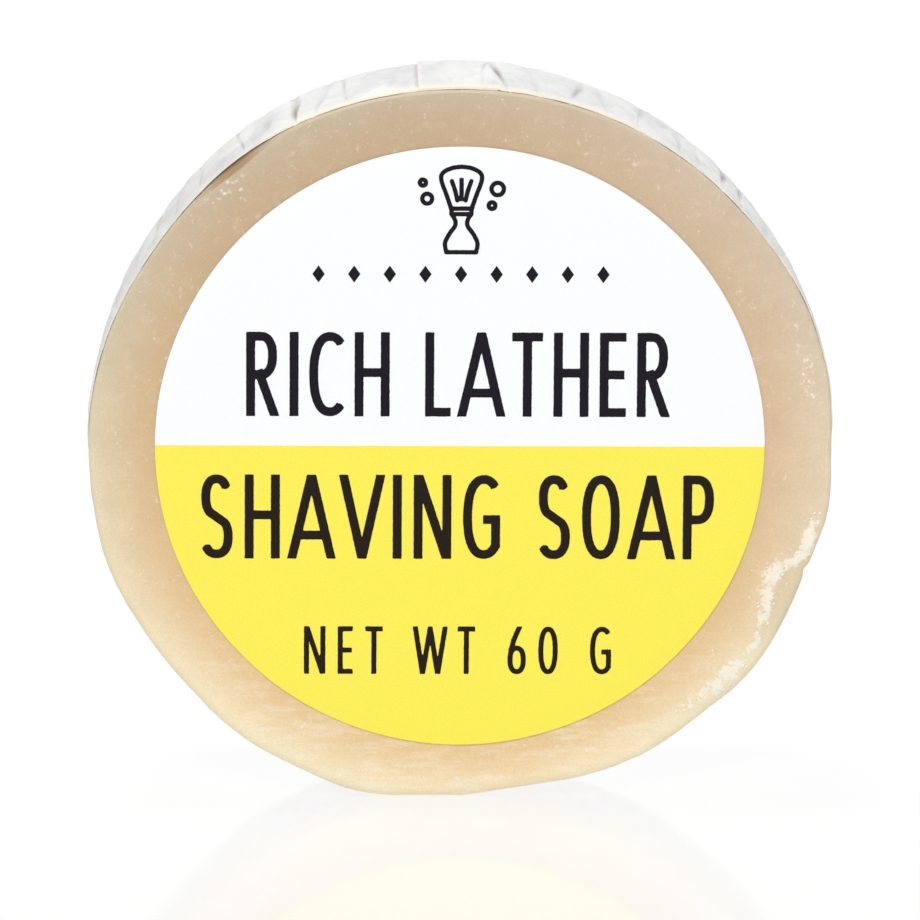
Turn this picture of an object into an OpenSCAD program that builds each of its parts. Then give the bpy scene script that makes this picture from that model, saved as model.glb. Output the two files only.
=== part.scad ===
// Shaving soap puck standing on its rim, in a paper wrapper that covers its
// side and its back and leaves its face bare. Millimetres, +Z up. The puck's
// axis runs along Y and its labelled face looks along -Y. The origin is on the
// ground, below the middle of the whole pack.

/* [Soap puck] */
// Width of the puck
puck_d = 60; // [54:1:80]
// How much less the puck measures from top to bottom, before it has its flats
puck_squash = 1.4; // [0.2:0.2:2.4]
// Thickness of the puck from its face to its back
puck_t = 19.4; // [14:0.2:30]
// Radius of the worn edge around the face
face_edge_r = 1.2; // [0.5:0.1:2.5]
// Radius of the moulded edge around the back
back_edge_r = 4.5; // [2:0.5:5]
// Depth of the flat that the puck stands on, pressed into its rim
stand_cut = 0.3; // [0.2:0.1:2]
// Depth of the two fainter flats beside it
side_cut = 0.35; // [0.2:0.05:0.8]
// Angle of those two flats from the standing flat
side_cut_angle = 44; // [35:1:60]

/* [Face label] */
// Diameter of the round label on the face
label_d = 49.2; // [30:0.2:49.4]

/* [Label stock] */
// Thickness of the labels' paper
label_t = 0.12; // [0.08:0.02:0.3]
// Thickness of the adhesive coat under a label
adhesive_t = 0.06; // [0.04:0.02:0.1]
// How far the adhesive stops short of a label's edge
adhesive_inset = 0.2; // [0.1:0.1:1]

/* [Paper wrapper] */
// Thickness of the wrapper's paper
paper_t = 0.2; // [0.1:0.05:0.4]
// Gap between the soap and the wrapper
paper_gap = 0.15; // [0.1:0.05:0.4]
// How far the wrapper's open edge stands back from the face
paper_setback = 0.3; // [0.2:0.1:3]

/* [Wrapper seam] */
// Width of the overlap where the ends of the paper meet, as an angle
seam_span = 14; // [8:1:24]
// Angle of the overlap's loose edge from straight up, towards -X
seam_angle = 6.4; // [0:0.2:20]
// Width of the glue line in the overlap, as an angle
glue_span = 8; // [4:1:10]
// Thickness of the glue line
glue_t = 0.06; // [0.04:0.02:0.1]

/* [Pleated back] */
// Number of pleats folded flat on the back
pleats = 24; // [16:1:36]
// Thickness that the folded pleats add to the back
pleat_t = 0.3; // [0.2:0.05:0.6]
// Diameter of the disc where the pleats lie on each other
gather_d = 26; // [18:1:34]
// Diameter of the round seal that holds the pleats down
seal_d = 30; // [22:1:44]

/* [Hidden] */
$fn = 128;

puck_r = puck_d / 2;
stock_t = label_t + adhesive_t;
wrap_out = paper_gap + paper_t;
pack_t = stock_t + puck_t + wrap_out + pleat_t + stock_t;
face_y = stock_t - pack_t / 2;
back_y = face_y + puck_t;
open_edge_y = face_y + paper_setback;
wrap_back_y = back_y + wrap_out;
seal_y = wrap_back_y + pleat_t;
arc_shift = puck_squash / 2;
axis_z = puck_r - arc_shift - stand_cut + wrap_out;
seam_r = puck_r + wrap_out;
edge_margin = 0.6;
seam_end_y = back_y - back_edge_r - edge_margin;
seam_root_span = 1;
glue_margin = 1;
sink = paper_t / 2;
pleat_tip_r = puck_r - arc_shift - back_edge_r - edge_margin;
pleat_root_r = gather_d / 2 - edge_margin;
pleat_span = 360 / pleats / 2;
straight_up = 270;
beyond = puck_d;

// The flat point at radius r and at an angle.
function polar(r, angle) = [r * cos(angle), r * sin(angle)];

// How far the puck's outline reaches from its axis, at an angle from straight down.
function rim_distance(angle) = puck_r - arc_shift * cos(angle);

// Brings a shape drawn around Z to the puck's axis: Z turns to +Y, and Y to -Z.
module on_axis() {
  translate([0, 0, axis_z]) rotate([-90, 0, 0]) children();
}

// Half section of a disc from y0 to y1, its edges rounded by r0 and r1.
module disc_section(r, y0, y1, r0, r1) {
  translate([0, y0 + r0]) square([r, y1 - r1 - y0 - r0]);
  translate([0, y0]) square([r - r0, y1 - r1 - y0]);
  translate([0, y0 + r0]) square([r - r1, y1 - y0 - r0]);
  if (r0 > 0) translate([r - r0, y0 + r0]) circle(r0);
  if (r1 > 0) translate([r - r1, y1 - r1]) circle(r1);
}

// Takes away what lies beyond a flat on the rim, at an angle from straight down.
module cut_rim(distance, angle) {
  on_axis() rotate([0, 0, angle]) translate([-beyond, distance, -beyond]) cube(2 * beyond);
}

// The puck's outline grown by a margin on its rim and back, from y0 backwards.
// Seen along its axis it is the overlap of two discs, one shifted up and one down.
module puck_form(grow, y0, y0_edge_r) {
  difference() {
    intersection_for(side = [-1, 1]) translate([0, 0, side * arc_shift])
      on_axis() rotate_extrude()
        disc_section(puck_r + grow, y0, back_y + grow, y0_edge_r, back_edge_r + grow);
    cut_rim(rim_distance(0) - stand_cut + grow, 0);
    for (side = [-1, 1])
      cut_rim(rim_distance(side_cut_angle) - side_cut + grow, side * side_cut_angle);
  }
}

// A flat disc on the puck's axis, with its near side at y.
module axis_disc(d, t, y) {
  on_axis() translate([0, 0, y]) cylinder(d = d, h = t);
}

// A strip of the wrapper's side wall, from r0 out to r1. It starts at an angle
// from straight up, measured towards -X, and spans part of a turn towards +X.
module side_strip(r0, r1, from_angle, span) {
  translate([0, 0, -arc_shift]) on_axis() rotate([0, 0, straight_up - from_angle])
    rotate_extrude(angle = span)
      translate([r0, open_edge_y]) square([r1 - r0, seam_end_y - open_edge_y]);
}

module soap_puck() {
  color("wheat") puck_form(0, face_y, face_edge_r);
}

module face_label() {
  color("gold") axis_disc(label_d, label_t, face_y - stock_t);
}

module face_label_adhesive() {
  color("ivory")
    axis_disc(label_d - 2 * adhesive_inset, adhesive_t, face_y - adhesive_t);
}

module paper_wrapper() {
  color("whitesmoke") {
    difference() {
      puck_form(wrap_out, open_edge_y, 0);
      puck_form(paper_gap, face_y, 0);
    }
    seam_flap();
    pleated_back();
  }
}

// The loose end of the paper, which lies over the glue and joins the wall.
module seam_flap() {
  side_strip(seam_r + glue_t, seam_r + glue_t + paper_t, seam_angle, seam_span);
  side_strip(seam_r - sink, seam_r + glue_t + paper_t,
    seam_angle - seam_span + seam_root_span, seam_root_span);
}

// Flat pleats run in from the back's edge to a disc where they lie on each other.
// Both are sunk into the back's wall.
module pleated_back() {
  axis_disc(gather_d, sink + pleat_t, wrap_back_y - sink);
  for (i = [0:pleats - 1])
    on_axis() rotate([0, 0, i * 360 / pleats]) translate([0, 0, wrap_back_y - sink])
      linear_extrude(sink + pleat_t / 2)
        polygon([polar(pleat_root_r, 0), polar(pleat_tip_r, 0),
          polar(pleat_tip_r, pleat_span), polar(pleat_root_r, pleat_span)]);
}

module wrapper_seam_glue() {
  color("ivory") side_strip(seam_r, seam_r + glue_t, seam_angle - glue_margin, glue_span);
}

module back_seal() {
  color("white") axis_disc(seal_d, label_t, seal_y + adhesive_t);
}

module back_seal_adhesive() {
  color("ivory") axis_disc(seal_d - 2 * adhesive_inset, adhesive_t, seal_y);
}

soap_puck();
face_label();
face_label_adhesive();
paper_wrapper();
wrapper_seam_glue();
back_seal();
back_seal_adhesive();
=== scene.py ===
"""The looks of a shaving soap puck that stands on its rim in a paper wrapper.

Pieces are worked out in millimetres around the puck's axis and written in metres.
An angle on the puck is in degrees, from +X towards +Z, as its face is seen.
"""

import math
import random

import bpy
import numpy as np
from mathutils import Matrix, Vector, noise
from mathutils.geometry import tessellate_polygon


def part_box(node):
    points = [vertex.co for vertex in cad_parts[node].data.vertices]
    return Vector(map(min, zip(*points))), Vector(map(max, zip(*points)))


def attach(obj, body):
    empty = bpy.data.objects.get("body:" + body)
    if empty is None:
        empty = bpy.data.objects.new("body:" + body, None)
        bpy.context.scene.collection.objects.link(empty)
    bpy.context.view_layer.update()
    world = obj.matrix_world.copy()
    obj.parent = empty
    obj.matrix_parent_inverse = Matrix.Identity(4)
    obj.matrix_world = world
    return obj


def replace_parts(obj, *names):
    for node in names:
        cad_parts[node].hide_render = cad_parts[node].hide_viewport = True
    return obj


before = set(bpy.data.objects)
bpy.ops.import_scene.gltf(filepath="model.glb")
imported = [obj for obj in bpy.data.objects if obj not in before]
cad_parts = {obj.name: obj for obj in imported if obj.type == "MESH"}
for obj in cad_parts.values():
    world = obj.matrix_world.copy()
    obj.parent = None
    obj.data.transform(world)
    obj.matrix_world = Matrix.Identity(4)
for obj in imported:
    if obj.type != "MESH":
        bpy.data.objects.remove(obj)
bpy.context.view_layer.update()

# ---- sizes, in mm

MM = 0.001


def box_mm(node):
    """A CAD node's lowest and highest corners in millimetres."""
    low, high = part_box(node)
    return np.array(low) / MM, np.array(high) / MM


SOAP_LOW, SOAP_HIGH = box_mm("soap_puck")
LABEL_LOW, LABEL_HIGH = box_mm("face_label")
WRAP_LOW, _ = box_mm("paper_wrapper")
SEAL_LOW, SEAL_HIGH = box_mm("back_seal")

AXIS_Z = (LABEL_LOW[2] + LABEL_HIGH[2]) / 2
HALF_WIDTH = (SOAP_HIGH[0] - SOAP_LOW[0]) / 2
TOP = SOAP_HIGH[2] - AXIS_Z
FLAT_LOWER = 0.12                        # how much lower the soap's flat is than in the CAD
BOTTOM = AXIS_Z - SOAP_LOW[2] + FLAT_LOWER
FACE_Y, BACK_Y = SOAP_LOW[1], SOAP_HIGH[1]
LABEL_R = (LABEL_HIGH[0] - LABEL_LOW[0]) / 2
SEAL_R = (SEAL_HIGH[0] - SEAL_LOW[0]) / 2

# The rim swells or dips at these angles: angle, height, half width in degrees.
RIM_SWELLS = [
    (10, 0.22, 6), (22, 0.3, 9), (90, -0.14, 22), (146, -0.36, 16), (200, 0.22, 9),
    (236, 0.45, 10), (253, 0.6, 8), (279, -0.46, 9), (301, 0.3, 8), (322, 0.52, 10),
    (339.8, -0.2, 0.8), (350, 0.34, 6),
]
TOP_EDGE_R, BOTTOM_EDGE_R = 0.32, 1.1    # how round the edge of the face is
BACK_EDGE_R = 4.5
TOP_TAPER, BOTTOM_TAPER = 0.35, 0.7      # how much less the radius is at the back
WORN_ANGLE, WORN_HALF = 128.3, 7.4       # where the edge is worn round: middle, half width

# ---- small sums


def bump(angle, centre, half_width):
    """A smooth bump of height 1 round an angle, all in degrees."""
    away = (angle - centre + 180) % 360 - 180
    return np.exp(-(away / half_width) ** 2)


def smooth(low, high, value):
    t = np.clip((value - low) / (high - low), 0, 1)
    return t * t * (3 - 2 * t)


def lowness(angle):
    """0 on the upper half of the puck, rising to 1 at its bottom."""
    return smooth(-0.1, 0.85, -np.sin(np.radians(angle)))


def fbm(points, size, octaves=3, seed=0.0):
    """Fractal noise of about -1 to 1 at points, with features of a size in mm."""
    shift = Vector((seed * 7.31, seed * 3.17, seed * 5.77))
    flat = np.asarray(points, float).reshape(-1, 3).tolist()
    values = [noise.fractal(Vector(p) / size + shift, 1.0, 2.0, octaves) for p in flat]
    return np.array(values).reshape(np.shape(points)[:-1])


def polar(radius, angle, y):
    """Points in mm from radii, angles in degrees and depths."""
    radius, angle, y = np.broadcast_arrays(radius, np.radians(angle), y)
    return np.stack([radius * np.cos(angle), y, AXIS_Z + radius * np.sin(angle)], -1)


# ---- meshes


def sheet_faces(rows, columns, closed, first=0):
    """Quads over a grid of points, wound to face away from the puck."""
    last = columns if closed else columns - 1
    i, j = np.meshgrid(np.arange(rows - 1), np.arange(last), indexing="ij")
    k = (j + 1) % columns
    quads = [i * columns + j, (i + 1) * columns + j, (i + 1) * columns + k, i * columns + k]
    return (np.stack(quads, -1).reshape(-1, 4) + first).tolist()


def round_pairs(loop):
    """Each item of a closed loop with the next."""
    return zip(loop, loop[1:] + loop[:1])


def pole_faces(ring, pole, outward):
    """Triangles from a ring of point numbers to a pole."""
    return [(pole, a, b) if outward else (pole, b, a) for a, b in round_pairs(ring)]


def add_object(name, data):
    """A new object of the scene."""
    added = bpy.data.objects.new(name, data)
    bpy.context.scene.collection.objects.link(added)
    return added


def make_piece(name, points, faces, materials, face_slots=None, sharp_deg=40, layers=None):
    """An object from points in mm. layers holds a value for each point, by name."""
    mesh = bpy.data.meshes.new(name)
    mesh.from_pydata((np.asarray(points) * MM).tolist(), [], faces)
    for material in materials:
        mesh.materials.append(material)
    if face_slots is not None:
        mesh.polygons.foreach_set("material_index", np.asarray(face_slots, np.int32))
    mesh.polygons.foreach_set("use_smooth", np.ones(len(mesh.polygons), bool))
    mesh.set_sharp_from_angle(angle=math.radians(sharp_deg))
    for layer, values in (layers or {}).items():
        attribute = mesh.attributes.new(layer, "FLOAT", "POINT")
        attribute.data.foreach_set("value", np.asarray(values, np.float32))
    mesh.update()
    return add_object(name, mesh)


def spread(rows, angle):
    """Rows of tuples, whose values may vary with the angle, as one grid for each place in them."""
    return [np.array([np.broadcast_to(v, angle.shape) for v in column]) for column in zip(*rows)]


def turned_solid(rings, y_front, y_back):
    """Points and faces of a closed solid from rings of points, front centre to back centre."""
    rows, columns = rings.shape[:2]
    points = np.concatenate([rings.reshape(-1, 3), [(0, y_front, AXIS_Z), (0, y_back, AXIS_Z)]])
    first = list(range(columns))
    last = [(rows - 1) * columns + j for j in first]
    faces = sheet_faces(rows, columns, closed=True)
    faces += pole_faces(first, rows * columns, outward=True)
    faces += pole_faces(last, rows * columns + 1, outward=False)
    return points, faces


# ---- node materials


def rgb(red, green, blue):
    """A linear colour from sRGB values of 0 to 255."""
    def linear(value):
        v = value / 255
        return v / 12.92 if v <= 0.04045 else ((v + 0.055) / 1.055) ** 2.4
    return (linear(red), linear(green), linear(blue), 1.0)


class Look:
    """A node material with a Principled shader, and short ways to add to it."""

    def __init__(self, name, **inputs):
        self.material = bpy.data.materials.new(name)
        self.material.use_nodes = True
        self.tree = self.material.node_tree
        self.shader = self.tree.nodes["Principled BSDF"]
        self.coords = self.node("ShaderNodeTexCoord", "Object")
        for socket, value in inputs.items():
            self.feed(value, self.shader.inputs[socket.replace("_", " ")])

    def feed(self, value, socket):
        """Links a socket, or sets a plain value."""
        if isinstance(value, bpy.types.NodeSocket):
            self.tree.links.new(value, socket)
        else:
            socket.default_value = value

    def node(self, kind, output, inputs=None, **settings):
        """Adds a node, feeds its inputs by name or number, and returns one of its outputs."""
        node = self.tree.nodes.new(kind)
        for key, value in settings.items():
            setattr(node, key, value)
        for key, value in (inputs or {}).items():
            self.feed(value, node.inputs[key])
        return node.outputs[output]

    def texture(self, kind, output, size_mm, stretch, inputs=None, **settings):
        """A texture with features of a size in mm, longer where stretch is over 1."""
        scale = [1 / (size_mm * MM * s) for s in stretch]
        place = self.node("ShaderNodeMapping", "Vector", {"Vector": self.coords, "Scale": scale})
        inputs = {"Vector": place, "Scale": 1.0, **(inputs or {})}
        return self.node(kind, output, inputs, **settings)

    def noise(self, size_mm, detail=3, roughness=0.6, stretch=(1, 1, 1)):
        """Noise from 0 to 1."""
        return self.texture("ShaderNodeTexNoise", "Fac", size_mm, stretch,
                            {"Detail": detail, "Roughness": roughness})

    def cells(self, size_mm, stretch, feature="F1"):
        """Cells, each of a random colour."""
        return self.texture("ShaderNodeTexVoronoi", "Color", size_mm, stretch, feature=feature)

    def cell_edges(self, size_mm, stretch):
        """The distance to the edges of the cells that cells() makes."""
        return self.texture("ShaderNodeTexVoronoi", "Distance", size_mm, stretch,
                            feature="DISTANCE_TO_EDGE")

    def ramp(self, value, low, high, out_low=0.0, out_high=1.0):
        """Smooth steps from one value to another as a socket goes from low to high."""
        inputs = {"Value": value, "From Min": low, "From Max": high,
                  "To Min": out_low, "To Max": out_high}
        return self.node("ShaderNodeMapRange", "Result", inputs,
                         interpolation_type="SMOOTHSTEP")

    def math(self, operation, a, b):
        return self.node("ShaderNodeMath", "Value", {0: a, 1: b}, operation=operation)

    def times(self, a, b):
        return self.math("MULTIPLY", a, b)

    def mix(self, factor, a, b):
        """Blends two colours, each a socket or a linear colour."""
        sockets = {0: factor, 6: a, 7: b}        # the node's factor, colour A and colour B
        return self.node("ShaderNodeMix", 2, sockets, data_type="RGBA")

    def tint(self, base, mask, strength, color):
        """Blends a colour into a base where a mask is 1, as far as a strength."""
        return self.mix(self.times(mask, strength), base, color)

    def layer(self, name):
        """The values that make_piece() stored for each point under a name."""
        return self.node("ShaderNodeAttribute", "Fac", attribute_name=name)

    def place(self, axis):
        """A point's place along X, Y or Z, in metres."""
        return self.node("ShaderNodeSeparateXYZ", axis, {"Vector": self.coords})

    def radius(self):
        """A point's distance from the puck's axis, in metres."""
        inputs = {"Vector": self.coords, "Location": (0, 0, -AXIS_Z * MM), "Scale": (1, 0, 1)}
        flat = self.node("ShaderNodeMapping", "Vector", inputs)
        return self.node("ShaderNodeVectorMath", "Value", {0: flat}, operation="LENGTH")

    def finish(self, color, roughness, bumps):
        """Links colour and roughness, and a chain of bumps: (height, distance in mm)."""
        self.feed(color, self.shader.inputs["Base Color"])
        self.feed(roughness, self.shader.inputs["Roughness"])
        chain = {}
        for height, distance_mm in bumps:
            inputs = {"Distance": distance_mm * MM, "Height": height, **chain}
            chain = {"Normal": self.node("ShaderNodeBump", "Normal", inputs)}
        self.feed(chain["Normal"], self.shader.inputs["Normal"])
        return self.material


def soap_look():
    """Cloudy soap, browner in its middle, with haze, scratches and torn places; with painted shade
    higher up, painted light lower down and on the right, and painted shade in the gap at the worn
    edge.
    """
    look = Look("soap", Subsurface_Weight=0.25, Subsurface_Scale=0.002, IOR=1.45,
                Subsurface_Radius=(1.0, 0.6, 0.35))
    up, right = look.place("Z"), look.place("X")
    # Painted light and shade: lighter, warmer colours towards the bottom, as if lit from the floor
    # below, and darker colours higher up.
    rise = look.ramp(up, 0.002, 0.056)
    rimward = look.ramp(look.radius(), 0.0245, 0.0302)
    inner = look.mix(rise, rgb(239, 205, 151), rgb(203, 176, 142))
    outer = look.mix(rise, rgb(255, 240, 203), rgb(202, 188, 164))
    base = look.mix(rimward, inner, outer)
    # Painted light: the right side of the soap is paler, as if more light fell on it from the
    # right.
    painted_light_right = look.times(look.ramp(right, -0.005, 0.02), look.ramp(up, 0.012, 0.028, 0.0, 0.26))
    base = look.mix(painted_light_right, base, rgb(240, 214, 194))
    cloud = look.ramp(look.noise(3.5, detail=4), 0.3, 0.7)
    # Random cloudy mottling, weakest near the bottom, which adds to the painted light there.
    cloudy = look.times(cloud, look.ramp(up, 0.0, 0.03, 0.0, 0.2))
    base = look.mix(cloudy, base, rgb(198, 168, 132))
    haze = look.ramp(look.noise(1.1, detail=6, roughness=0.7, stretch=(1.3, 1, 1)), 0.5, 0.75)
    base = look.tint(base, haze, 0.16, rgb(252, 240, 218))
    streaks = look.ramp(look.noise(0.6, detail=4, stretch=(5, 5, 1)), 0.42, 0.78)
    low_streaks = look.times(streaks, look.ramp(up, 0.018, 0.002, 0.0, 0.62))
    base = look.mix(low_streaks, base, rgb(255, 247, 224))
    flecks = look.ramp(look.noise(0.42, stretch=(1, 1, 1.8)), 0.62, 0.74)
    base = look.tint(base, flecks, 0.3, rgb(252, 236, 212))
    grain_tone = look.ramp(look.noise(0.14, roughness=0.7), 0.35, 0.65)
    base = look.tint(base, grain_tone, 0.14, rgb(176, 146, 112))
    clear = look.times(look.ramp(look.layer("clear"), 0.1, 0.9), 0.34)
    base = look.mix(clear, base, rgb(196, 184, 152))
    flakes = look.ramp(look.noise(0.45, detail=6, roughness=0.75), 0.3, 0.7, -0.5, 0.5)
    patches = look.ramp(look.noise(1.5), 0.3, 0.7, -0.2, 0.2)
    ragged = look.math("ADD", flakes, patches)
    torn = look.ramp(look.math("ADD", look.layer("torn"), ragged), 0.36, 0.84)
    pale = look.mix(look.noise(0.4, detail=4), rgb(250, 235, 210), rgb(255, 252, 242))
    base = look.tint(base, torn, 0.92, pale)
    # Painted shade: the soap's side seen in shadow in the gap under the paper at the worn edge,
    # upper left.
    base = look.tint(base, look.layer("gap_shade"), 0.9, rgb(158, 126, 86))
    grain = look.noise(0.5, detail=6, roughness=0.7)
    scratches = look.noise(0.3, stretch=(6, 6, 1))
    crust = look.times(torn, look.noise(0.22, detail=5, roughness=0.8))
    roughness = look.ramp(look.noise(1.5), 0.3, 0.7, 0.36, 0.52)
    return look.finish(base, roughness, [(grain, 0.035), (scratches, 0.02), (crust, 0.03)])


def crumb_look():
    look = Look("soap_crumbs", IOR=1.4)
    tone = look.ramp(look.noise(0.3), 0.3, 0.7)
    base = look.mix(tone, rgb(252, 238, 216), rgb(255, 250, 238))
    roughness = look.ramp(tone, 0, 1, 0.35, 0.6)
    return look.finish(base, roughness, [(look.noise(0.15), 0.02)])


def label_paper_look(name, color, shade):
    look = Look(name, Subsurface_Weight=0.05, Subsurface_Scale=0.0004)
    fibres = look.noise(0.35, detail=4, stretch=(2.5, 1, 1))
    tone = look.ramp(look.noise(0.15, detail=2), 0.4, 0.65)
    base = look.tint(color, tone, 0.5, shade)
    roughness = look.ramp(fibres, 0.3, 0.7, 0.5, 0.66)
    return look.finish(base, roughness, [(fibres, 0.006)])


def ink_look(name, color, worn):
    look = Look(name, Specular_IOR_Level=0.15)
    patch = look.ramp(look.noise(0.25, detail=4), 0.45, 0.8)
    base = look.tint(color, patch, 0.3, worn)
    roughness = look.ramp(look.noise(0.4), 0.3, 0.7, 0.42, 0.6)
    return look.finish(base, roughness, [(look.noise(0.12), 0.003)])


def wrapper_look():
    """Thin crumpled paper: facets of two sizes with painted shade, painted shade in its folds and
    creases, and a cream front edge that is partly stained and partly a painted highlight.
    """
    look = Look("wrapper_paper", Subsurface_Weight=0.1, Subsurface_Scale=0.0006, IOR=1.4,
                Subsurface_Radius=(1.0, 0.95, 0.9))
    small = (1.5, (1.2, 3.6, 1.2))
    # Painted shade: each facet of the crumpled paper, large and small, gets its own brightness, as
    # light falls on it.
    facets = look.cells(3.0, (1, 2.8, 1), "SMOOTH_F1")
    small_facet_shade = look.mix(look.cells(*small), rgb(198, 200, 196), rgb(255, 255, 253))
    base = look.mix(facets, rgb(204, 204, 212), rgb(255, 254, 251))
    base = look.mix(0.36, base, small_facet_shade)
    cloud = look.ramp(look.noise(1.5, detail=5, roughness=0.7, stretch=(1, 2.4, 1)), 0.35, 0.7)
    base = look.tint(base, cloud, 0.4, rgb(252, 252, 250))
    crinkle = look.cell_edges(*small)
    # Painted shade in the fine creases between the small facets.
    crinkle_shade = look.ramp(crinkle, 0.0, 0.05, 1, 0)
    base = look.tint(base, crinkle_shade, 0.08, rgb(196, 194, 190))
    # Painted shade in the folds and under the pleat steps, beside the flap and over the upper left.
    base = look.mix(look.layer("fold_shade"), base, rgb(136, 130, 112))
    # The cream front edge: partly soap staining, partly a painted highlight.
    base = look.tint(base, look.layer("edge"), 0.85, rgb(253, 245, 224))
    fibres = look.noise(0.3, detail=4, stretch=(1, 6, 1))
    roughness = look.ramp(fibres, 0.3, 0.7, 0.42, 0.6)
    return look.finish(base, roughness, [(facets, 0.12), (crinkle, 0.12), (fibres, 0.012)])


def seal_look(name, color, shade):
    look = Look(name)
    tone = look.ramp(look.noise(0.4, detail=4), 0.35, 0.7)
    base = look.mix(tone, color, shade)
    fibres = look.noise(0.3, detail=4, stretch=(2, 1, 1))
    return look.finish(base, look.ramp(fibres, 0.3, 0.7, 0.45, 0.6), [(fibres, 0.008)])


def adhesive_look():
    look = Look("adhesive", IOR=1.47)
    smear = look.noise(0.9, detail=4)
    base = look.mix(look.ramp(smear, 0.35, 0.7), rgb(226, 214, 186), rgb(242, 236, 218))
    roughness = look.ramp(smear, 0.3, 0.7, 0.12, 0.3)
    return look.finish(base, roughness, [(look.noise(0.5), 0.015)])


def floor_look():
    """A bright floor, glossy enough to mirror the puck faintly at the camera's low angle."""
    look = Look("floor", IOR=1.18, Emission_Color=(1, 1, 1, 1), Emission_Strength=0.742)
    haze = look.noise(6.0, detail=2)
    base = look.mix(haze, (0.10, 0.10, 0.10, 1), (0.12, 0.12, 0.12, 1))
    return look.finish(base, look.ramp(haze, 0.3, 0.7, 0.07, 0.11), [(haze, 0.002)])


# ---- the soap

# Ribbons of torn white soap on the rim: angle, radius, half width in mm, strength.
SMEARS = [
    [(347.3, 29.3, 0.4, 0.75), (344.8, 29.25, 0.75, 1.05), (342, 29.1, 0.6, 0.95),
     (340.3, 28.6, 0.4, 0.9), (338.9, 27.7, 0.75, 1.1), (336.8, 27.45, 0.9, 1.1),
     (334.2, 27.8, 0.7, 1.0), (331.5, 28.3, 0.6, 0.85), (328, 28.7, 0.4, 0.8),
     (325, 29.0, 0.4, 0.75), (321.5, 28.9, 0.8, 0.75), (317, 28.7, 1.1, 0.78),
     (312.5, 28.6, 0.9, 0.7), (310, 28.4, 0.4, 0.5)],
    [(20, 28.9, 0.5, 0.25), (15, 28.7, 0.8, 0.36), (10, 28.6, 0.8, 0.34),
     (6, 28.9, 0.4, 0.2)],
    [(309, 28.3, 0.5, 0.3), (303, 28.2, 0.8, 0.27), (297, 28.1, 0.5, 0.22)],
    [(133.5, 28.2, 0.7, 0.18), (130.5, 28.0, 1.0, 0.26), (127, 28.0, 0.7, 0.2)],
    [(282, 27.6, 0.6, 0.2), (276, 27.9, 0.9, 0.2), (269, 27.7, 0.5, 0.2)],
    [(252, 28.3, 0.5, 0.2), (246, 28.0, 0.9, 0.2), (240, 28.4, 0.5, 0.2)],
]
TORN_PROUD = 0.2                         # mm that torn soap stands proud
GLASSY_ANGLE, GLASSY_HALF = 335, 9       # where the rim looks glassy: middle, half width
SOAP_COLUMNS = 720
FACE_RINGS = (3, 9, 15, 20, 23, 24)      # radii under the label
BARE_R = 24.6                            # where the rows come closer together


def rim_radius(angle):
    """The soap's radius at an angle: an oval, its swells, and the flat it stands on."""
    angle = np.asarray(angle, float)
    mean, stretch = (HALF_WIDTH + TOP) / 2, (HALF_WIDTH - TOP) / 2
    radius = mean + stretch * np.cos(np.radians(2 * angle))
    for centre, height, half_width in RIM_SWELLS:
        radius = radius + height * bump(angle, centre, half_width)
    down = np.maximum(-np.sin(np.radians(angle)), 0.5)
    return np.minimum(radius, BOTTOM / down)


def face_edge_r(angle):
    """How round the edge of the face is, with a place at the upper left worn rounder."""
    worn = 0.5 * bump(angle, WORN_ANGLE, WORN_HALF)
    return TOP_EDGE_R + (BOTTOM_EDGE_R - TOP_EDGE_R) * lowness(angle) + worn


def side_radius(angle, y):
    """The soap's radius on its side, which tapers a little towards the back."""
    taper = TOP_TAPER + (BOTTOM_TAPER - TOP_TAPER) * lowness(angle)
    return rim_radius(angle) - taper * (y - FACE_Y) / (BACK_Y - FACE_Y)


def smear_at(angle, radius):
    """How much torn white soap there is at a point of the face, from 0 to 1."""
    place = polar(radius, angle, 0)
    total = np.zeros(radius.shape)
    for ribbon in SMEARS:
        for (a0, r0, w0, s0), (a1, r1, w1, s1) in zip(ribbon, ribbon[1:]):
            start, step = polar(r0, a0, 0), polar(r1, a1, 0) - polar(r0, a0, 0)
            t = np.clip((place - start) @ step / (step @ step), 0, 1)
            away = np.linalg.norm(place - start - t[..., None] * step, axis=-1)
            width, strength = w0 + (w1 - w0) * t, s0 + (s1 - s0) * t
            total = np.maximum(total, strength * np.exp(-(away / width) ** 2))
    return total


def clear_at(angle, radius):
    """How glassy the soap is, from 0 to 1: most between the torn ribbon and the rim."""
    return bump(angle, GLASSY_ANGLE, GLASSY_HALF) * smooth(27.6, 28.6, radius)


def soap_rows(angle):
    """The soap's profile as rows of (radius, depth, outward radius, outward depth)."""
    edge, side = face_edge_r(angle), rim_radius(angle)
    rows = [(r, FACE_Y, 0, -1) for r in FACE_RINGS]
    rows += [(BARE_R + (side - edge - BARE_R) * t, FACE_Y, 0, -1)
             for t in np.linspace(0, 1, 24, endpoint=False)]
    for a in np.radians(np.linspace(0, 90, 13)):
        rows.append((side - edge * (1 - math.sin(a)), FACE_Y + edge * (1 - math.cos(a)),
                     math.sin(a), -math.cos(a)))
    start, end = FACE_Y + edge, BACK_Y - BACK_EDGE_R
    for t in np.linspace(0, 1, 28)[1:]:
        y = start + (end - start) * t
        shift = side_radius(angle, start) - side
        rows.append((side_radius(angle, y) - shift * (1 - t), y, 1, 0))
    back = side_radius(angle, end) - BACK_EDGE_R
    for a in np.radians(np.linspace(0, 90, 11)[1:]):
        rows.append((back + BACK_EDGE_R * math.cos(a), end + BACK_EDGE_R * math.sin(a),
                     math.cos(a), math.sin(a)))
    return rows + [(back * t, BACK_Y, 0, 1) for t in (0.8, 0.55, 0.3, 0.1)]


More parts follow.
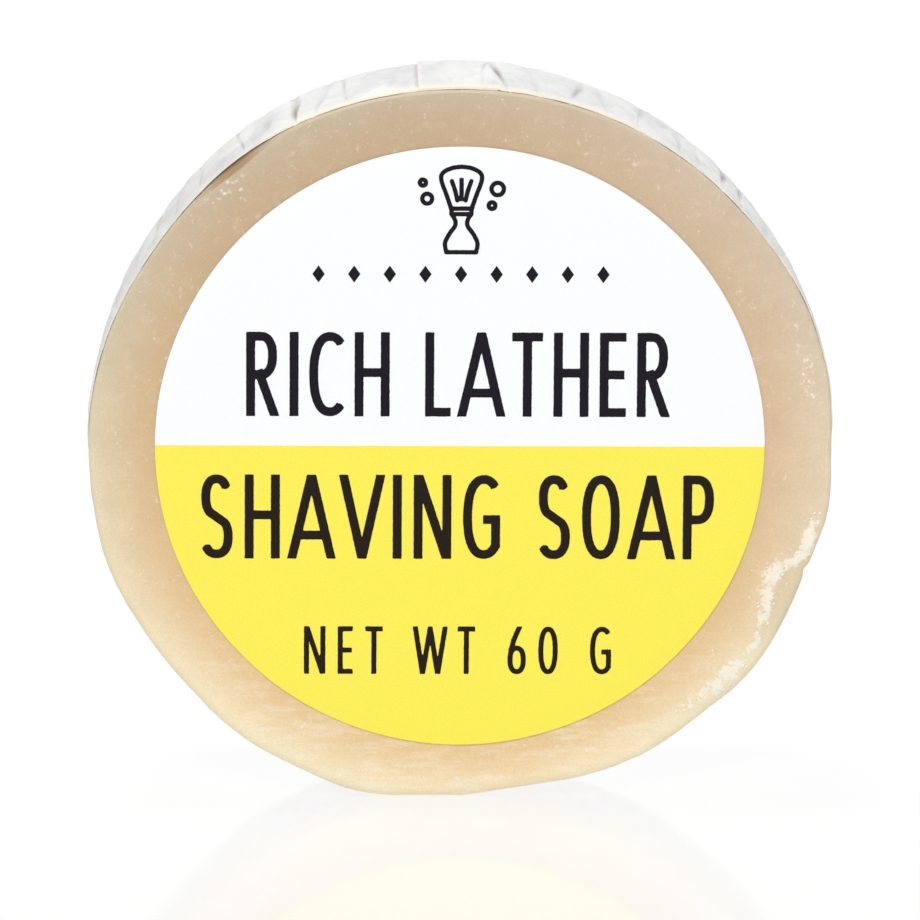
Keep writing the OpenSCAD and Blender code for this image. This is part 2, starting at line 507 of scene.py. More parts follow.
def build_soap(material):
    """The soap, uneven where it is bare, with torn soap that stands proud."""
    angle = np.arange(SOAP_COLUMNS) * 360 / SOAP_COLUMNS
    radius, y, out_r, out_y = spread(soap_rows(angle), angle)
    points = polar(radius, angle, y)
    front = out_y < 0.2
    bare = smooth(LABEL_R - 0.6, LABEL_R + 1.2, radius) * smooth(BACK_Y, BACK_Y - 1, y)
    swell = 0.045 * fbm(points, 4.0, seed=1) + 0.018 * fbm(points, 1.1, seed=2)
    smear = np.where(front, smear_at(angle, radius), 0)
    lumps = 0.5 + 0.8 * np.clip(fbm(points, 0.9, seed=3), -0.5, 1)
    lift = bare * (swell - 0.03) + TORN_PROUD * smear ** 2 * lumps
    points = polar(radius + lift * out_r, angle, y + lift * out_y)
    solid, faces = turned_solid(points, FACE_Y, BACK_Y)
    worn_in = rim_radius(angle) - face_edge_r(angle)
    # Where the painted gap shade goes: on the worn edge at the upper left, under the paper.
    gap_shade = (bump(angle, WORN_ANGLE, WORN_HALF - 0.6)
              * smooth(worn_in + 0.08, worn_in + 0.24, radius))
    layers = {"torn": smear, "clear": clear_at(angle, radius) * front,
              "gap_shade": gap_shade * front}
    layers = {name: np.concatenate([v.ravel(), [0, 0]]) for name, v in layers.items()}
    piece = make_piece("soap", solid, faces, [material], sharp_deg=60, layers=layers)
    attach(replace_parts(piece, "soap_puck"), "puck")


CRUMBS_PER_PLACE = 6                     # at a place of the ribbon with a strength of 1
CRUMB_SPREAD = 1.3                       # degrees
CRUMB_SIZES = (0.06, 0.17)
CRUMB_FLATNESS = 0.5
CRUMB_ROWS, CRUMB_COLUMNS = 7, 12


def crumb(centre, normal, size, seed):
    """A small lumpy crumb that lies against a surface."""
    axis = Vector(normal).normalized()
    side = axis.orthogonal().normalized()
    other = axis.cross(side)
    points = []
    for i in range(CRUMB_ROWS):
        down = math.pi * (i + 0.5) / CRUMB_ROWS
        for j in range(CRUMB_COLUMNS):
            turn = 2 * math.pi * j / CRUMB_COLUMNS
            unit = Vector((math.sin(down) * math.cos(turn), math.sin(down) * math.sin(turn),
                           math.cos(down)))
            lump = 1 + 0.45 * noise.noise(unit * 1.3 + Vector((seed, seed, 0)))
            local = unit * size * lump
            points.append(Vector(centre) + side * local.x + other * local.y * 0.6
                          + axis * local.z * CRUMB_FLATNESS)
    faces = sheet_faces(CRUMB_ROWS, CRUMB_COLUMNS, closed=True)
    last = (CRUMB_ROWS - 1) * CRUMB_COLUMNS
    faces.append(tuple(range(CRUMB_COLUMNS)))
    faces.append(tuple(last + j for j in reversed(range(CRUMB_COLUMNS))))
    return points, faces


def build_crumbs(material):
    """Loose flakes of soap that cling to the torn ribbon at the lower right of the rim."""
    rng = random.Random(11)
    points, faces = [], []
    for middle_angle, middle_r, half_width, strength in SMEARS[0]:
        for _ in range(int(CRUMBS_PER_PLACE * strength)):
            angle = rng.gauss(middle_angle, CRUMB_SPREAD)
            radius = min(rng.gauss(middle_r, half_width * 0.8), float(rim_radius(angle)) - 0.25)
            edge = float(face_edge_r(angle))
            inner = float(rim_radius(angle)) - edge
            lean = math.asin(min(max((radius - inner) / edge, 0), 1))
            y = FACE_Y + edge * (1 - math.cos(lean)) - 0.01
            turn = math.radians(angle)
            normal = (math.sin(lean) * math.cos(turn), -math.cos(lean),
                      math.sin(lean) * math.sin(turn))
            more, quads = crumb(polar(radius, angle, y), normal, rng.uniform(*CRUMB_SIZES),
                                rng.uniform(0, 50))
            faces += [[n + len(points) for n in quad] for quad in quads]
            points += more
    piece = make_piece("soap_crumbs", [tuple(p) for p in points], faces, [material])
    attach(piece, "puck")


# ---- the label

LABEL_STEPS = 360
LABEL_EDGE = 0.03             # how round the label's cut edge is
LABEL_TURN = -0.34            # degrees: the label was stuck on a little askew
LABEL_SPLIT = 0.14            # mm from the label's middle up to where its yellow half starts


def askew(points):
    """Points turned about the puck's axis, as the label is."""
    turn = math.radians(LABEL_TURN)
    x, y, z = (np.asarray(points, float)[..., n] for n in range(3))
    z = z - AXIS_Z
    return np.stack([x * math.cos(turn) - z * math.sin(turn), y,
                     AXIS_Z + x * math.sin(turn) + z * math.cos(turn)], -1)


def build_label(white, yellow):
    """A paper disc, white above its middle line and yellow below it."""
    angle = np.arange(LABEL_STEPS) * 360 / LABEL_STEPS
    front, back = LABEL_LOW[1], LABEL_HIGH[1]
    wander = 0.012 * np.sin(np.radians(3 * angle)) + 0.008 * np.sin(np.radians(11 * angle))
    rows = [(r, front) for r in (4, 8, 12, 16, 20, 23)]
    rows += [(LABEL_R - LABEL_EDGE + LABEL_EDGE * math.sin(a),
              front + LABEL_EDGE * (1 - math.cos(a))) for a in (0.0, 0.5, 1.0, math.pi / 2)]
    rows += [(LABEL_R - 0.01, back), (LABEL_R / 2, back), (LABEL_R / 8, back)]
    rings = []
    for r, y in rows:
        lifted = angle + math.degrees(math.asin(LABEL_SPLIT / r)) * np.cos(np.radians(angle))
        rings.append(polar(r + wander * (r > LABEL_R / 2 + 1), lifted, y))
    points, faces = turned_solid(np.array(rings), front, back)
    points[-2:, 2] += LABEL_SPLIT
    middles = [sum(points[n][2] for n in face) / len(face) for face in faces]
    slots = [int(z <= AXIS_Z + LABEL_SPLIT) for z in middles]
    piece = make_piece("label", askew(points), faces, [white, yellow], slots)
    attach(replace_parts(piece, "face_label"), "puck")


# ---- print
# A letter is its width and a list of strokes, polylines in units of its cap height. It is
# drawn where the distance to a stroke is less than half of the pen's width.


def arc(cx, cy, rx, ry, start, end, steps=18, square=0.86):
    """Points on an arc that is a little squarer than an ellipse."""
    points = []
    for a in np.radians(np.linspace(start, end, steps + 1)):
        c, s = math.cos(a), math.sin(a)
        points.append((cx + rx * math.copysign(abs(c) ** square, c),
                       cy + ry * math.copysign(abs(s) ** square, s)))
    return points


PEN = 0.105                   # stroke width in cap heights
LOW, HIGH = PEN / 2, 1 - PEN / 2
OVER = 0.1                    # how far slanted strokes run past the cap height, to be cut


def stem(x=LOW):
    return [(x, 0), (x, 1)]


def bar(y, end, start=0):
    return [(start, y), (end, y)]


def bowl(middle, foot):
    """The round stroke of a P or an R, down to the height of its foot."""
    return [(0, HIGH)] + arc(0.17, middle, 0.138, HIGH - middle, 90, -90) + [(0, foot)]


GLYPHS = {
    " ": (0.16, []),
    "A": (0.46, [[(-0.023, -OVER), (0.23, HIGH + 0.05), (0.483, -OVER)], bar(0.28, 0.37, 0.09)]),
    "C": (0.4, [arc(0.24, 0.5, 0.19, HIGH - 0.5, 52, 308, 30)]),
    "E": (0.31, [stem(), bar(LOW, 0.31), bar(0.5, 0.29), bar(HIGH, 0.31)]),
    "G": (0.43, [arc(0.24, 0.5, 0.19, HIGH - 0.5, 50, 318, 30), bar(0.47, 0.43, 0.23),
                 [(0.378, 0.47), (0.378, 0.13)]]),
    "H": (0.41, [stem(), stem(0.41 - LOW), bar(0.52, 0.41)]),
    "I": (PEN, [stem()]),
    "L": (0.3, [stem(), bar(LOW, 0.3)]),
    "N": (0.44, [stem(), stem(0.44 - LOW), [(LOW - 0.03, 1 + OVER), (0.47 - LOW, -OVER)]]),
    "O": (0.44, [arc(0.22, 0.5, 0.22 - LOW, HIGH - 0.5, 0, 360, 40)]),
    "P": (0.36, [stem(), bowl(0.71, 0.4725)]),
    "R": (0.38, [stem(), bowl(0.72, 0.4925), [(0.14, 0.55), (0.37, -OVER)]]),
    "S": (0.38, [arc(0.19, 0.73, 0.125, HIGH - 0.73, 28, 232)
                 + arc(0.19, 0.26, 0.137, 0.26 - LOW, 52, -150)]),
    "T": (0.36, [stem(0.18), bar(HIGH, 0.36)]),
    "V": (0.44, [[(-0.02, 1 + OVER), (0.22, LOW - 0.05), (0.46, 1 + OVER)]]),
    "W": (0.62, [[(-0.015, 1 + OVER), (0.155, LOW - 0.05), (0.31, HIGH + 0.02),
                  (0.465, LOW - 0.05), (0.635, 1 + OVER)]]),
    "6": (0.38, [arc(0.19, 0.3, 0.137, 0.3 - LOW, 0, 360, 30),
                 [(0.053, 0.31), (0.07, 0.5), (0.13, 0.72), (0.29, 1 + OVER)]]),
    "0": (0.4, [arc(0.2, 0.5, 0.2 - LOW, HIGH - 0.5, 0, 360, 40)]),
}


def stroke_distance(x, y, strokes, half_width):
    """Signed distance to flat-ended strokes with round joints, negative inside."""
    best = np.full(x.shape, 1e3)
    for stroke in strokes:
        for (ax, ay), (bx, by) in zip(stroke, stroke[1:]):
            length = math.hypot(bx - ax, by - ay)
            ux, uy = (bx - ax) / length, (by - ay) / length
            along = (x - (ax + bx) / 2) * ux + (y - (ay + by) / 2) * uy
            across = (x - ax) * uy - (y - ay) * ux
            best = np.minimum(best, np.maximum(np.abs(along) - length / 2,
                                               np.abs(across) - half_width))
        closed = math.dist(stroke[0], stroke[-1]) < 1e-6
        for px, py in stroke[0 if closed else 1:-1]:
            best = np.minimum(best, np.hypot(x - px, y - py) - half_width)
    return best


# For each pattern of corners inside a cell, the edges its outline goes from and to.
# Corners count 1, 2, 4, 8 and edges 0, 1, 2, 3 round from the lower left and the bottom.
CELL_EDGES = {
    1: [(0, 3)], 2: [(1, 0)], 4: [(2, 1)], 8: [(3, 2)], 3: [(1, 3)], 6: [(2, 0)],
    12: [(3, 1)], 9: [(0, 2)], 7: [(2, 3)], 11: [(1, 2)], 13: [(0, 1)], 14: [(3, 0)],
    5: [(0, 3), (2, 1)], 10: [(1, 0), (3, 2)],
}


def outlines(xs, ys, field):
    """Closed outlines of the region where a field on a grid is negative, inside on the left."""
    inside = (field < 0).astype(int)
    cell = inside[:-1, :-1] + 2 * inside[1:, :-1] + 4 * inside[1:, 1:] + 8 * inside[:-1, 1:]
    follow = {}
    for i, j in zip(*np.nonzero((cell > 0) & (cell < 15))):
        edges = ((i, j, 0), (i + 1, j, 1), (i, j + 1, 0), (i, j, 1))
        for start, end in CELL_EDGES[int(cell[i, j])]:
            follow[edges[start]] = edges[end]

    def crossing(edge):
        i, j, upright = edge
        a = field[i, j]
        b = field[i, j + 1] if upright else field[i + 1, j]
        t = a / (a - b)
        if upright:
            return (xs[i], ys[j] + (ys[j + 1] - ys[j]) * t)
        return (xs[i] + (xs[i + 1] - xs[i]) * t, ys[j])

    loops = []
    while follow:
        start, edge = follow.popitem()
        loop = [crossing(start)]
        while edge != start:
            loop.append(crossing(edge))
            edge = follow.pop(edge)
        loops.append(loop)
    return loops


def tidy_loop(loop, shortest):
    """Drops points closer than the shortest step to the one before."""
    kept = [loop[0]]
    for point in loop[1:]:
        if math.dist(point, kept[-1]) >= shortest:
            kept.append(point)
    return kept


def loop_area(loop):
    """Twice a closed outline's area, over 0 where it runs anticlockwise."""
    return sum(a[0] * b[1] - b[0] * a[1] for a, b in round_pairs(loop))


def surrounds(loop, point):
    """Whether a point lies inside a closed outline."""
    x, y = point
    inside = False
    for (ax, ay), (bx, by) in round_pairs(loop):
        if (ay > y) != (by > y) and x < ax + (bx - ax) * (y - ay) / (by - ay):
            inside = not inside
    return inside


INK_PROUD, INK_SUNK = 0.012, 0.02        # how far the ink stands out of the label and into it


class Print:
    """Collects thin raised marks on the label's face, and makes one piece of them."""

    def __init__(self):
        self.front, self.sunk = LABEL_LOW[1] - INK_PROUD, LABEL_LOW[1] + INK_SUNK
        self.points, self.faces = [], []

    def add(self, loops):
        """Adds prisms over outlines in mm across and up from the puck's axis."""
        loops = [loop for loop in loops if len(loop) > 3]
        solids = [[loop] for loop in loops if loop_area(loop) > 0]
        for hole in (loop for loop in loops if loop_area(loop) < 0):
            around = [solid for solid in solids if surrounds(solid[0], hole[0])]
            min(around, key=lambda solid: loop_area(solid[0])).append(hole)
        for solid in solids:
            self.add_solid(solid)

    def add_solid(self, loops):
        """Adds one prism from its outer outline and the outlines of its holes."""
        flat = [point for loop in loops for point in loop]
        first, count = len(self.points), len(flat)
        self.points += [(x, self.front, AXIS_Z + z) for x, z in flat]
        self.points += [(x, self.sunk, AXIS_Z + z) for x, z in flat]
        for tri in tessellate_polygon([[Vector((x, z, 0)) for x, z in l] for l in loops]):
            if loop_area([flat[n] for n in tri]) < 0:
                tri = tri[::-1]
            self.faces.append([first + n for n in tri])
            self.faces.append([first + count + n for n in reversed(tri)])
        for loop in loops:
            for a, b in round_pairs(list(range(first, first + len(loop)))):
                self.faces.append([a, a + count, b + count, b])
            first += len(loop)

    def draw(self, strokes, width, left, base, size, cut=None, step=0.075, rough=0.018):
        """Draws strokes of a width in mm, given in units of size from (left, base)."""
        xs_all = [left + px * size for stroke in strokes for px, _ in stroke]
        zs_all = [base + py * size for stroke in strokes for _, py in stroke]
        margin = width + 2 * step
        xs = np.arange(min(xs_all) - margin, max(xs_all) + margin, step)
        zs = np.arange(min(zs_all) - margin, max(zs_all) + margin, step)
        x, z = np.meshgrid(xs, zs, indexing="ij")
        field = size * stroke_distance((x - left) / size, (z - base) / size, strokes,
                                       width / 2 / size)
        if cut is not None:
            low, high = cut
            field = np.maximum(field, np.maximum(low - z, z - high))
        grid = np.stack([x, np.zeros_like(x), z], -1)
        field = field + rough * fbm(grid, 0.3, 2, seed=5)
        self.add([tidy_loop(l, step * 0.35) for l in outlines(xs, zs, field)])

    def write(self, text, centre, base, cap, width):
        """Writes a line of letters, spaced out to a width in mm, on a base line."""
        widths = [GLYPHS[letter][0] * cap for letter in text]
        gap = (width - sum(widths)) / (len(text) - 1)
        left = centre - width / 2
        for letter, letter_width in zip(text, widths):
            strokes = GLYPHS[letter][1]
            if strokes:
                self.draw(strokes, PEN * cap, left, base, cap, cut=(base, base + cap))
            left += letter_width + gap

    def finish(self, name, material):
        """Makes the piece, which rides with the label."""
        piece = make_piece(name, askew(self.points), self.faces, [material], sharp_deg=50)
        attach(piece, "puck")


def circle(x, z, radius):
    return arc(x, z, radius, radius, 0, 360, 24, square=1.0)


def curve(points, steps=8):
    """A smooth line through points (Catmull-Rom)."""
    padded = [points[0], *points, points[-1]]
    line = []
    for p in zip(padded, padded[1:], padded[2:], padded[3:]):
        for step in range(steps):
            t = step / steps
            line.append(tuple(0.5 * (2 * b + (c - a) * t + (2 * a - 5 * b + 4 * c - d) * t * t
                                     + (3 * b - a - 3 * c + d) * t ** 3)
                              for a, b, c, d in zip(*p)))
    return line + [points[-1]]


def brush_strokes():
    """A shaving brush and a few bubbles, in mm from the drawing's middle."""
    left = curve([(-0.8, -0.35), (-0.52, -0.8), (-0.5, -1.3), (-0.95, -1.95), (-1.3, -2.7),
                  (-1.2, -3.45)])
    handle = left + [(-x, z) for x, z in reversed(left)] + [left[0]]
    collar = [(-0.8, 0.1), (0.8, 0.1)]
    fan = curve([(-0.8, -0.35), (-0.85, 0.15), (-1.2, 1.2), (-1.62, 2.4), (-1.5, 3.0),
                 (-0.8, 3.38), (0, 3.5)])
    knot = fan + [(-x, z) for x, z in reversed(fan[:-1])]
    hairs = [curve([(-0.32, 0.7), (-0.5, 1.5), (-0.8, 2.4)]), [(0, 0.7), (0, 2.6)],
             curve([(0.32, 0.7), (0.5, 1.5), (0.8, 2.4)])]
    bubbles = [circle(2.9, 1.7, 0.5), circle(-2.75, 0.9, 0.4), circle(2.45, 0.35, 0.27),
               circle(-3.1, 2.2, 0.25)]
    return [handle, collar, knot] + hairs + bubbles


BRUSH_UP, BRUSH_LINE = 19.45, 0.36       # height of the drawing's middle, and line width
DIAMONDS, DIAMOND_STEP, DIAMONDS_UP = 9, 2.86, 14.2
DIAMOND = [(0, -0.7), (0.5, 0), (0, 0.7), (-0.5, 0)]

# Lines of text: words, middle, height of the base line, cap height and width in mm.
UPPER_LINE = ("RICH LATHER", -0.2, 2.56, 6.9, 34.1)
LOWER_LINES = [("SHAVING SOAP", -0.2, -9.17, 6.93, 41.5), ("NET WT 60 G", -0.1, -18.72, 3.95, 24.9)]


def build_print(dark, warm):
    """Generic words, a row of diamonds and a brush, where the real label has its print."""
    upper = Print()
    upper.draw(brush_strokes(), BRUSH_LINE, 0.0, BRUSH_UP, 1.0, step=0.06, rough=0.012)
    for n in range(DIAMONDS):
        middle = DIAMOND_STEP * (n - DIAMONDS // 2)
        upper.add([[(middle + x, DIAMONDS_UP + z) for x, z in DIAMOND]])
    upper.write(*UPPER_LINE)
    upper.finish("label_print_upper", dark)
    lower = Print()
    for line in LOWER_LINES:
        lower.write(*line)
    lower.finish("label_print_lower", warm)


# ---- the wrapper

PAPER_T = 0.11
SEAM_END = 96.4               # the loose edge of the overlap
OVERLAP = 12.4
SHEET_START = SEAM_END - OVERLAP
SEAM_LIFT = 0.17              # paper, glue and a little air
GLUE_FROM, GLUE_TO = 88.2, 95.4
GLUE_T = 0.03
SIDE_GAP = 0.1                # between the soap's side and the paper
SIDE_ROWS, ARC_ROWS, REAR_ROWS = 30, 8, 18
REAR_Y = 9.56                 # outside of the paper on the back, before its pleats
PLEAT_RISE = 0.34
GATHER_HOLE_R = 1.2           # the hole that is left where the pleats meet, under the seal
STEP_BACK = 5.0               # how far the open edge steps back along the bottom

# Creases that show at the top: angle at the front edge, angle at the back, depth and half width in
# mm, and how much painted shade each gets.
SIDE_CREASES = [
    (134.6, 135.6, 0.10, 0.30, 0.35), (125.6, 127.6, 0.16, 0.30, 0.65),
    (121.0, 122.4, 0.08, 0.90, 0.22), (116.5, 116.9, 0.30, 0.60, 0.95),
    (113.4, 110.8, 0.10, 0.60, 0.28), (107.6, 108.9, 0.12, 0.24, 0.50),
    (101.5, 99.4, 0.06, 0.50, 0.12), (91.0, 93.0, 0.05, 0.50, 0.12),
    (82.0, 85.2, 0.18, 0.52, 1.00), (86.6, 85.6, 0.10, 0.22, 0.40),
    (77.4, 78.6, 0.06, 0.60, 0.14), (72.4, 69.6, 0.18, 0.46, 0.70),
    (66.0, 67.2, 0.06, 0.50, 0.14), (61.0, 59.4, 0.10, 0.42, 0.34),
    (53.6, 52.2, 0.12, 0.42, 0.38), (49.8, 48.6, 0.10, 0.36, 0.30),
    (44.8, 42.6, 0.24, 0.60, 0.85), (40.4, 39.0, 0.20, 0.46, 0.70),
    (34.2, 33.0, 0.10, 0.40, 0.30), (29.8, 28.4, 0.12, 0.40, 0.36),
]


def all_creases():
    """The creases at the top and seeded ones round the rest, in rising order of angle."""
    rng = random.Random(4)
    creases = list(SIDE_CREASES)
    angle = 141.0
    while angle < 384:
        creases.append((angle, angle + rng.uniform(-1.6, 1.6), rng.uniform(0.06, 0.2),
                        rng.uniform(0.3, 0.6), rng.uniform(0.15, 0.5)))
        angle += rng.uniform(5.0, 9.0)
    creases = [(*crease, rng.uniform(0.03, 0.08)) for crease in creases]
    start = SHEET_START - 6
    turned = [(a + 360, b + 360, *rest) if a < start else (a, b, *rest)
              for a, b, *rest in creases]
    turned += [(a + 360, b + 360, *rest) for a, b, *rest in turned if a < start + 30]
    return np.array(sorted([(start, start, 0, 0.3, 0, 0.05)] + turned))


def panel_place(angle, edges):
    """Where angles lie between the creases either side: number of the panel, 0 to 1."""
    panel = np.clip(np.searchsorted(edges, angle, side="right") - 1, 0, len(edges) - 2)
    low, high = edges[panel], edges[panel + 1]
    return panel, np.clip((angle - low) / (high - low), 0, 1)


def side_folds(angle, along, creases):
    """How far the side of the paper bulges out, and how much painted shade its folds get."""
    wander = 0.35 * along * np.sin(6 * along + creases[:, 5] * 100)
    middles = creases[:, 0] + (creases[:, 1] - creases[:, 0]) * along + wander
    panel, t = panel_place(angle, middles)
    bulge = creases[panel, 5] * (1 - np.abs(2 * t - 1) ** 1.7)
    fold_shade = np.zeros(angle.shape)
    for middle, (_, _, depth, half_width, dark, height) in zip(middles, creases):
        dark *= 0.65 + 0.35 * math.sin(8 * along + height * 150)
        away = np.abs(angle - middle) * math.radians(TOP)
        valley = np.clip(1 - away / (half_width * (0.35 + 0.65 * along)), 0, 1)
        bulge = bulge - depth * valley * (1 - 0.75 * along)
        fold_shade = np.maximum(fold_shade, dark * valley ** 0.7)
    fade = float(smooth(0.0, 0.3, along))
    return bulge * (0.2 + 0.8 * fade), fold_shade * fade


def rear_pleat(angle, creases):
    """Pleats on the back that lie over each other like a fan: height, and how much painted shade
    lies at the foot of each step.
    """
    _, t = panel_place(angle, creases[:, 1])
    # Painted shade at the foot of each pleat step, under the one before, and a little at its top.
    dark = 0.75 * np.exp(-t / 0.07) + 0.25 * smooth(0.86, 1.0, t)
    return t ** 1.2 * smooth(1.0, 0.93, t), dark


def wrapper_grid():
    """The outside of the paper, from its front edge to the middle of the back.

    Returns its grid of points, the angles of its columns, and how much painted shade its folds get.
    """
    end = 360 + OVERLAP
    turn = np.concatenate([np.arange(0, 60, 0.3), np.arange(60, 310, 0.8),
                           np.arange(310, end, 0.3), [end]])    # closest over the top
    angle = SHEET_START + turn
    creases = all_creases()
    low = lowness(angle)
    curl = 0.04 * smooth(end - 2, end, turn)
    ragged = 0.12 * np.abs(fbm(polar(30.0, angle, 0.0), 2.5, seed=8))
    front = WRAP_LOW[1] + ragged + STEP_BACK * smooth(-0.09, 0.12, -np.sin(np.radians(angle)))
    turn_in = BACK_Y - BACK_EDGE_R
    arc_r = REAR_Y - turn_in
    rows, folds = [], []
    for along in np.linspace(0, 1, SIDE_ROWS) ** 1.15:
        y = front + (turn_in - front) * along
        stand_off = 0.05 * bump(angle, WORN_ANGLE, WORN_HALF) * (1 - along) ** 1.5
        gap = SIDE_GAP * smooth(0, 0.25, along) * (1 - 0.7 * low) + stand_off
        lift = smooth(359.5 - 9 * along, 360, turn)
        up = lift * (PAPER_T - 0.01 + (SEAM_LIFT - PAPER_T + curl) * along ** 0.3)
        bulge, fold_shade = side_folds(angle, along, creases)
        rows.append((side_radius(angle, y) + gap + PAPER_T + bulge * (1 - 0.5 * low) + up, y))
        folds.append(fold_shade)
    inner = rows[-1][0] - arc_r
    pleat, dark = rear_pleat(angle, creases)
    for a in np.radians(np.linspace(0, 90, ARC_ROWS + 1)[1:]):
        part = math.sin(a)
        out = arc_r + pleat * PLEAT_RISE * 0.6 * part
        rows.append((inner + out * math.cos(a), turn_in + out * math.sin(a)))
        folds.append(folds[SIDE_ROWS - 1] * (1 - part) + dark * part)
    for t in np.linspace(0, 1, REAR_ROWS + 1)[1:]:
        rise = pleat * PLEAT_RISE * (0.6 + 0.4 * smooth(0, 0.3, t))
        rows.append((inner + (GATHER_HOLE_R - inner) * t, REAR_Y + rise + SEAM_LIFT * 0.6 * lift))
        folds.append(dark)
    radius, y = spread(rows, angle)
    return polar(radius, angle, y), angle, np.array(folds)


def grid_normals(points):
    """Outward normals of a grid of points, from its neighbours."""
    down, across = np.gradient(points, axis=0), np.gradient(points, axis=1)
    normal = np.cross(down, across)
    return normal / np.maximum(np.linalg.norm(normal, axis=-1, keepdims=True), 1e-9)


def thick_sheet(outer, inner):
    """Points and faces of a closed sheet between two grids."""
    rows, columns = outer.shape[:2]
    points = np.concatenate([outer.reshape(-1, 3), inner.reshape(-1, 3)])
    n = rows * columns
    faces = sheet_faces(rows, columns, closed=False)
    faces += [quad[::-1] for quad in sheet_faces(rows, columns, closed=False, first=n)]
    grid = np.arange(n).reshape(rows, columns)
    ring = np.concatenate([grid[0], grid[1:, -1], grid[-1, -2::-1], grid[-2:0:-1, 0]]).tolist()
    for a, b in round_pairs(ring):
        faces.append([a, b, b + n, a + n])
    return points, faces


def build_wrapper(material):
    """The paper: a thick sheet, crumpled on its side, with painted shade in its folds and at the
    upper left.
    """
    outer, angle, folds = wrapper_grid()
    along = (np.arange(len(outer)) / (SIDE_ROWS - 1))[:, None]
    side = smooth(0, 0.15, along) * smooth(1.2, 0.9, along) * (1 - 0.8 * lowness(angle))
    crumple = 0.05 * fbm(outer * (1, 0.5, 1), 3.0, octaves=2, seed=6)
    outer = outer + grid_normals(outer) * (np.clip(crumple, -0.02, 1) * side)[..., None]
    inner = outer - grid_normals(outer) * PAPER_T
    points, faces = thick_sheet(outer, inner)
    # Painted highlight: the cream front edge, strongest over the top, is partly soap staining and
    # partly painted light; the flap's loose edge gets a painted highlight line too.
    flap_end = smooth(OVERLAP + 359.3, OVERLAP + 359.7, angle - SHEET_START)
    bright = 0.3 + 0.7 * smooth(0.82, 0.93, np.sin(np.radians(angle)))
    edge = np.maximum(smooth(0.26, 0.02, along) * bright, 0.5 * flap_end)
    # Painted shadow beside the loose edge of the flap.
    flap_shadow = 0.4 * bump(angle, SEAM_END + 0.25, 0.3) * (angle < 180) * (along < 1)
    # Painted shade: the paper at the upper left is made greyer.
    in_shade = 0.19 * bump(angle, 148, 28) * (1 - 0.5 * smooth(0.6, 1, along))
    folds = np.maximum(folds, flap_shadow) + in_shade
    layers = {"edge": np.tile(edge.ravel(), 2), "fold_shade": np.tile(folds.ravel(), 2)}
    piece = make_piece("wrapper", points, faces, [material], sharp_deg=25, layers=layers)
    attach(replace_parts(piece, "paper_wrapper"), "wrapper")


def build_seam_glue(material):
    """The line of glue under the loose edge of the overlap."""
    angle = np.linspace(GLUE_FROM, GLUE_TO, 24)
    creases = all_creases()
    turn_in = BACK_Y - BACK_EDGE_R
    rows = []
    for along in np.linspace(0.2, 1, 40):
        y = WRAP_LOW[1] + (turn_in - WRAP_LOW[1]) * along
        bulge, _ = side_folds(angle, along, creases)
        gap = SIDE_GAP * smooth(0, 0.25, along)
        rows.append((side_radius(angle, y) + gap + PAPER_T + bulge + 0.005, y))
    base, y = spread(rows, angle)
    inner = polar(base, angle, y)
    lumps = 0.006 * fbm(inner, 0.8, seed=9)
    points, faces = thick_sheet(polar(base + GLUE_T + lumps, angle, y), inner)
    piece = make_piece("seam_glue", points, faces, [material])
    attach(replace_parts(piece, "wrapper_seam_glue"), "wrapper")


# ---- the back seal


RING_FROM, RING_TO = 13.4, 14.2          # radii of the seal's printed ring
PLEAT_WAVES = 24              # how often the pleats under the seal show through it


def build_seal(paper, ring):
    """The round paper seal that holds the pleats down, with a plain printed ring."""
    columns = 240
    angle = np.arange(columns) * 360 / columns
    front, back = SEAL_LOW[1], SEAL_HIGH[1]
    rows = [(2.0, front), (9.0, front), (SEAL_R, front), (SEAL_R, back - 0.03),
            (SEAL_R - 0.03, back)]
    rows += [(r, back) for r in (RING_TO, RING_FROM, 13.0, 12.6, 10.0, 7.0, 4.0, 2.0)]
    wave = 0.02 * np.maximum(0, np.sin(np.radians(PLEAT_WAVES * angle)))
    rings = np.array([polar(r, angle, y - wave * (y > front) * smooth(15, 8, r))
                      for r, y in rows])
    points, faces = turned_solid(rings, front, back)
    slots = []
    for face in faces:
        middle = np.mean([points[n] for n in face], axis=0)
        r = math.hypot(middle[0], middle[2] - AXIS_Z)
        printed = middle[1] > (front + back) / 2 and RING_FROM < r < RING_TO
        slots.append(int(printed))
    piece = make_piece("seal", points, faces, [paper, ring], slots)
    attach(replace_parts(piece, "back_seal"), "wrapper")


# ---- stage and camera


FLOOR_HALF = 3000.0
WORLD_SEEN, WORLD_AS_LIGHT = 1.03, 0.42
LIGHTS_AIM = (0, 0, 0.03)                # metres, as are the lights' places and sizes


def build_floor(material):
    h = FLOOR_HALF
    corners = [(-h, -h, 0), (h, -h, 0), (h, h, 0), (-h, h, 0)]
    floor = make_piece("floor", corners, [(0, 1, 2, 3)], [material])


def add_light(name, place, size, power):
    """A round soft light that points at the puck."""
    data = bpy.data.lights.new(name, "AREA")
    data.shape = "DISK"
    data.size = size
    data.energy = power
    light = add_object(name, data)
    light.location = place
    light.rotation_euler = (Vector(LIGHTS_AIM) - Vector(place)).to_track_quat("-Z", "Y").to_euler()


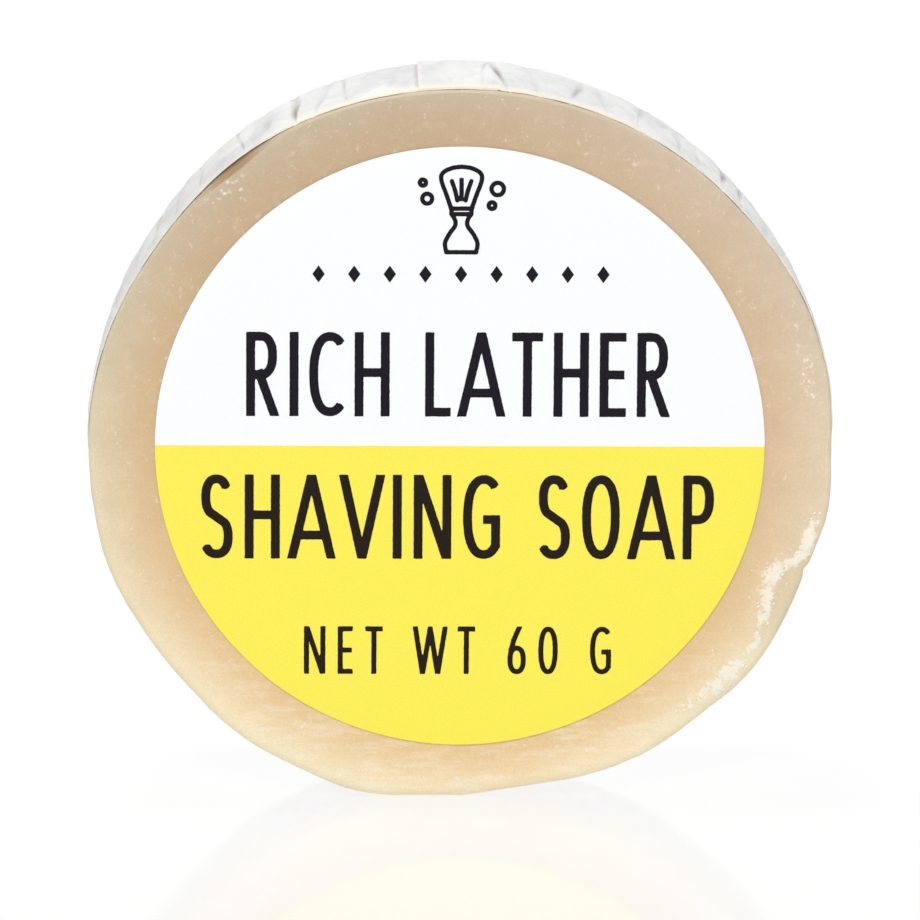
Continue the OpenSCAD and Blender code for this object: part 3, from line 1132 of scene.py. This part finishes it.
def build_world():
    """White all round: full strength to the eye and in mirrors, softer as a light."""
    world = bpy.data.worlds.new("studio")
    world.use_nodes = True
    tree = world.node_tree
    background = tree.nodes["Background"]
    background.inputs["Color"].default_value = (1, 1, 1, 1)
    rays = tree.nodes.new("ShaderNodeLightPath")
    strength = tree.nodes.new("ShaderNodeMapRange")
    strength.inputs["To Min"].default_value = WORLD_SEEN
    strength.inputs["To Max"].default_value = WORLD_AS_LIGHT
    tree.links.new(rays.outputs["Is Diffuse Ray"], strength.inputs["Value"])
    tree.links.new(strength.outputs["Result"], background.inputs["Strength"])
    bpy.context.scene.world = world
    bpy.context.scene.view_settings.view_transform = "Standard"


CAMERA_LEFT, CAMERA_UP = 0.95, 11.4      # degrees from straight in front
CAMERA_FAR, LENS = 640.0, 310.5
AIM_BELOW = 0.99                         # mm below the middle of the label


def build_camera():
    data = bpy.data.cameras.new("camera")
    data.lens = LENS
    data.sensor_width = 36.0
    data.clip_start, data.clip_end = 0.05, 20.0
    camera = add_object("camera", data)
    left, up = math.radians(CAMERA_LEFT), math.radians(CAMERA_UP)
    back = Vector((-math.sin(left) * math.cos(up), -math.cos(left) * math.cos(up),
                   math.sin(up)))
    turn = (-back).to_track_quat("-Z", "Y")
    aim = Vector((0, LABEL_LOW[1], AXIS_Z)) - AIM_BELOW * (turn @ Vector((0, 1, 0)))
    camera.location = (aim + back * CAMERA_FAR) * MM
    camera.rotation_mode = "QUATERNION"
    camera.rotation_quaternion = turn
    bpy.context.scene.camera = camera


# ---- the scene

build_soap(soap_look())
build_crumbs(crumb_look())
build_label(label_paper_look("label_white", rgb(252, 252, 253), rgb(247, 248, 250)),
            label_paper_look("label_yellow", rgb(254, 240, 84), rgb(250, 229, 62)))
build_print(ink_look("ink_black", rgb(17, 13, 24), rgb(40, 36, 46)),
            ink_look("ink_on_yellow", rgb(27, 15, 9), rgb(56, 42, 22)))
build_wrapper(wrapper_look())
build_seal(seal_look("seal_paper", rgb(246, 244, 238), rgb(252, 251, 247)),
           seal_look("seal_ring", rgb(244, 226, 92), rgb(240, 214, 70)))
adhesive_material = adhesive_look()
build_seam_glue(adhesive_material)
for node in ("face_label_adhesive", "back_seal_adhesive"):
    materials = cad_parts[node].data.materials
    materials.clear()
    materials.append(adhesive_material)

build_floor(floor_look())
build_world()
add_light("key", (-0.1, -0.9, 0.72), 0.3, 5.9)
add_light("top", (-0.12, 0.1, 0.95), 0.22, 3.0)
build_camera()
